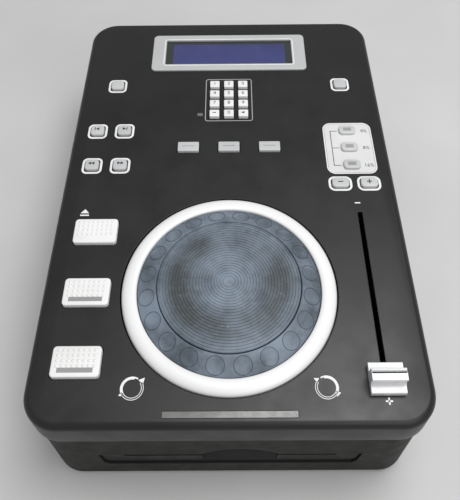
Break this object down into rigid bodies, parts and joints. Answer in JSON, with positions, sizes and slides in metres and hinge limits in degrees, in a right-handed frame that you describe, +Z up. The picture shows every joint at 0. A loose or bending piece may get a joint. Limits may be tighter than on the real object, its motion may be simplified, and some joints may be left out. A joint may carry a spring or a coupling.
{
  "type": "tabletop dj cd player",
  "caption": "Tabletop disc player with a front disc slot, a dimpled jog wheel, transport keys, a number keypad, a display window and a long pitch fader on a moulded cover",
  "frame": {"origin": "centre of the overall bounding box in plan, at the underside of the rubber feet", "axes": "+X to the user's right, +Y from the front with the disc slot to the back with the connectors, +Z up"},
  "size_m": [0.2222, 0.3238, 0.1052],
  "materials": {
    "charcoal_plastic": "fine satin texture",
    "grey_case_paint": "semi-matt warm grey paint",
    "black_rubber": "matt",
    "bright_steel": "bright zinc",
    "drive_steel": "dull pressed sheet",
    "silver_plastic": "silver lacquer",
    "clear_window": "clear, lightly smoked",
    "display_blue": "unlit deep blue",
    "light_pipe": "frosted",
    "jog_silver": "satin silver lacquer",
    "blue_grey_rubber": "satin, worn darker where fingers rest",
    "bush_brass": "turned",
    "black_plastic": "satin",
    "board_green": "solder mask",
    "white_key_plastic": "satin",
    "grey_key_plastic": "satin"
  },
  "bodies": {
    "chassis": {"top_cover": "charcoal_plastic", "bottom_case": "grey_case_paint", "rubber_feet": "black_rubber", "case_screws": "bright_steel", "display_bezel": "silver_plastic", "display_window": "clear_window", "lcd_module": "display_blue", "disc_light_bar": "light_pipe", "memory_light": "light_pipe", "jog_bearing": "bush_brass", "fader_body": "bright_steel", "control_board": "board_green", "push_switches": "black_plastic", "main_board": "board_green", "power_board": "board_green", "rear_jacks": "black_plastic", "power_inlet": "black_plastic", "drive_bezel": "black_plastic", "drive_deck": "drive_steel", "drive_top_plate": "drive_steel", "guide_rods": "bright_steel"},
    "jog": {"jog_wheel": "jog_silver", "jog_pad": "blue_grey_rubber", "jog_shaft": "bright_steel", "encoder_disc": "black_plastic"},
    "fader": {"fader_cap": "silver_plastic", "fader_carriage": "black_plastic"},
    "rocker": {"power_rocker": "black_plastic"},
    "roller": {"loading_roller": "black_rubber"},
    "disc_table": {"turntable": "black_plastic"},
    "pickup": {"pickup_sled": "black_plastic"},
    "key_1": {"key_1": "white_key_plastic"},
    "key_2": {"key_2": "white_key_plastic"},
    "key_3": {"key_3": "white_key_plastic"},
    "key_4": {"key_4": "white_key_plastic"},
    "key_5": {"key_5": "white_key_plastic"},
    "key_6": {"key_6": "white_key_plastic"},
    "key_7": {"key_7": "white_key_plastic"},
    "key_8": {"key_8": "white_key_plastic"},
    "key_9": {"key_9": "white_key_plastic"},
    "key_memory": {"key_memory": "white_key_plastic"},
    "key_0": {"key_0": "white_key_plastic"},
    "key_recall": {"key_recall": "white_key_plastic"},
    "single_key": {"single_key": "grey_key_plastic"},
    "time_key": {"time_key": "grey_key_plastic"},
    "skip_back_key": {"skip_back_key": "grey_key_plastic"},
    "skip_forward_key": {"skip_forward_key": "grey_key_plastic"},
    "search_back_key": {"search_back_key": "grey_key_plastic"},
    "search_forward_key": {"search_forward_key": "grey_key_plastic"},
    "loop_in_key": {"loop_in_key": "white_key_plastic"},
    "loop_out_key": {"loop_out_key": "white_key_plastic"},
    "reloop_key": {"reloop_key": "white_key_plastic"},
    "range_4_key": {"range_4_key": "grey_key_plastic"},
    "range_8_key": {"range_8_key": "grey_key_plastic"},
    "range_16_key": {"range_16_key": "grey_key_plastic"},
    "bend_down_key": {"bend_down_key": "grey_key_plastic"},
    "bend_up_key": {"bend_up_key": "grey_key_plastic"},
    "stop_key": {"stop_key": "white_key_plastic"},
    "cue_key": {"cue_key": "white_key_plastic"},
    "play_key": {"play_key": "white_key_plastic"}
  },
  "joints": [
    {"name": "key_1_press", "type": "slide", "parent": "chassis", "child": "key_1", "axis": [0, 0, -1], "range_m": [0, 0.0005], "stiffness_N_per_m": 700, "springref_m": -0.0005},
    {"name": "key_2_press", "type": "slide", "parent": "chassis", "child": "key_2", "axis": [0, 0, -1], "range_m": [0, 0.0005], "stiffness_N_per_m": 700, "springref_m": -0.0005},
    {"name": "key_3_press", "type": "slide", "parent": "chassis", "child": "key_3", "axis": [0, 0, -1], "range_m": [0, 0.0005], "stiffness_N_per_m": 700, "springref_m": -0.0005},
    {"name": "key_4_press", "type": "slide", "parent": "chassis", "child": "key_4", "axis": [0, 0, -1], "range_m": [0, 0.0005], "stiffness_N_per_m": 700, "springref_m": -0.0005},
    {"name": "key_5_press", "type": "slide", "parent": "chassis", "child": "key_5", "axis": [0, 0, -1], "range_m": [0, 0.0005], "stiffness_N_per_m": 700, "springref_m": -0.0005},
    {"name": "key_6_press", "type": "slide", "parent": "chassis", "child": "key_6", "axis": [0, 0, -1], "range_m": [0, 0.0005], "stiffness_N_per_m": 700, "springref_m": -0.0005},
    {"name": "key_7_press", "type": "slide", "parent": "chassis", "child": "key_7", "axis": [0, 0, -1], "range_m": [0, 0.0005], "stiffness_N_per_m": 700, "springref_m": -0.0005},
    {"name": "key_8_press", "type": "slide", "parent": "chassis", "child": "key_8", "axis": [0, 0, -1], "range_m": [0, 0.0005], "stiffness_N_per_m": 700, "springref_m": -0.0005},
    {"name": "key_9_press", "type": "slide", "parent": "chassis", "child": "key_9", "axis": [0, 0, -1], "range_m": [0, 0.0005], "stiffness_N_per_m": 700, "springref_m": -0.0005},
    {"name": "key_memory_press", "type": "slide", "parent": "chassis", "child": "key_memory", "axis": [0, 0, -1], "range_m": [0, 0.0005], "stiffness_N_per_m": 700, "springref_m": -0.0005},
    {"name": "key_0_press", "type": "slide", "parent": "chassis", "child": "key_0", "axis": [0, 0, -1], "range_m": [0, 0.0005], "stiffness_N_per_m": 700, "springref_m": -0.0005},
    {"name": "key_recall_press", "type": "slide", "parent": "chassis", "child": "key_recall", "axis": [0, 0, -1], "range_m": [0, 0.0005], "stiffness_N_per_m": 700, "springref_m": -0.0005},
    {"name": "single_key_press", "type": "slide", "parent": "chassis", "child": "single_key", "axis": [0, 0, -1], "range_m": [0, 0.0005], "stiffness_N_per_m": 700, "springref_m": -0.0005},
    {"name": "time_key_press", "type": "slide", "parent": "chassis", "child": "time_key", "axis": [0, 0, -1], "range_m": [0, 0.0005], "stiffness_N_per_m": 700, "springref_m": -0.0005},
    {"name": "skip_back_key_press", "type": "slide", "parent": "chassis", "child": "skip_back_key", "axis": [0, 0, -1], "range_m": [0, 0.0005], "stiffness_N_per_m": 700, "springref_m": -0.0005},
    {"name": "skip_forward_key_press", "type": "slide", "parent": "chassis", "child": "skip_forward_key", "axis": [0, 0, -1], "range_m": [0, 0.0005], "stiffness_N_per_m": 700, "springref_m": -0.0005},
    {"name": "search_back_key_press", "type": "slide", "parent": "chassis", "child": "search_back_key", "axis": [0, 0, -1], "range_m": [0, 0.0005], "stiffness_N_per_m": 700, "springref_m": -0.0005},
    {"name": "search_forward_key_press", "type": "slide", "parent": "chassis", "child": "search_forward_key", "axis": [0, 0, -1], "range_m": [0, 0.0005], "stiffness_N_per_m": 700, "springref_m": -0.0005},
    {"name": "loop_in_key_press", "type": "slide", "parent": "chassis", "child": "loop_in_key", "axis": [0, 0, -1], "range_m": [0, 0.0005], "stiffness_N_per_m": 700, "springref_m": -0.0005},
    {"name": "loop_out_key_press", "type": "slide", "parent": "chassis", "child": "loop_out_key", "axis": [0, 0, -1], "range_m": [0, 0.0005], "stiffness_N_per_m": 700, "springref_m": -0.0005},
    {"name": "reloop_key_press", "type": "slide", "parent": "chassis", "child": "reloop_key", "axis": [0, 0, -1], "range_m": [0, 0.0005], "stiffness_N_per_m": 700, "springref_m": -0.0005},
    {"name": "range_4_key_press", "type": "slide", "parent": "chassis", "child": "range_4_key", "axis": [0, 0, -1], "range_m": [0, 0.0005], "stiffness_N_per_m": 700, "springref_m": -0.0005},
    {"name": "range_8_key_press", "type": "slide", "parent": "chassis", "child": "range_8_key", "axis": [0, 0, -1], "range_m": [0, 0.0005], "stiffness_N_per_m": 700, "springref_m": -0.0005},
    {"name": "range_16_key_press", "type": "slide", "parent": "chassis", "child": "range_16_key", "axis": [0, 0, -1], "range_m": [0, 0.0005], "stiffness_N_per_m": 700, "springref_m": -0.0005},
    {"name": "bend_down_key_press", "type": "slide", "parent": "chassis", "child": "bend_down_key", "axis": [0, 0, -1], "range_m": [0, 0.0005], "stiffness_N_per_m": 700, "springref_m": -0.0005},
    {"name": "bend_up_key_press", "type": "slide", "parent": "chassis", "child": "bend_up_key", "axis": [0, 0, -1], "range_m": [0, 0.0005], "stiffness_N_per_m": 700, "springref_m": -0.0005},
    {"name": "stop_key_press", "type": "slide", "parent": "chassis", "child": "stop_key", "axis": [0, 0, -1], "range_m": [0, 0.0008], "stiffness_N_per_m": 900, "springref_m": -0.0005},
    {"name": "cue_key_press", "type": "slide", "parent": "chassis", "child": "cue_key", "axis": [0, 0, -1], "range_m": [0, 0.0008], "stiffness_N_per_m": 900, "springref_m": -0.0005},
    {"name": "play_key_press", "type": "slide", "parent": "chassis", "child": "play_key", "axis": [0, 0, -1], "range_m": [0, 0.0008], "stiffness_N_per_m": 900, "springref_m": -0.0005},
    {"name": "jog_turn", "type": "hinge", "parent": "chassis", "child": "jog", "pos_m": [0, -0.082, 0.0936], "axis": [0, 0, 1], "continuous": true},
    {"name": "pitch_fader_slide", "type": "slide", "parent": "chassis", "child": "fader", "axis": [0, 1, 0], "range_m": [0, 0.1]},
    {"name": "power_rocker_tilt", "type": "hinge", "parent": "chassis", "child": "rocker", "pos_m": [0.0495, 0.15518, 0.029], "axis": [-1, 0, 0], "range_deg": [0, 20]},
    {"name": "loading_roller_turn", "type": "hinge", "parent": "chassis", "child": "roller", "pos_m": [0, -0.1467, 0.0306], "axis": [1, 0, 0], "continuous": true},
    {"name": "disc_table_turn", "type": "hinge", "parent": "chassis", "child": "disc_table", "pos_m": [0, -0.0817, 0.0333], "axis": [0, 0, 1], "continuous": true},
    {"name": "pickup_slide", "type": "slide", "parent": "chassis", "child": "pickup", "axis": [0, 1, 0], "range_m": [0, 0.034]}
  ]
}
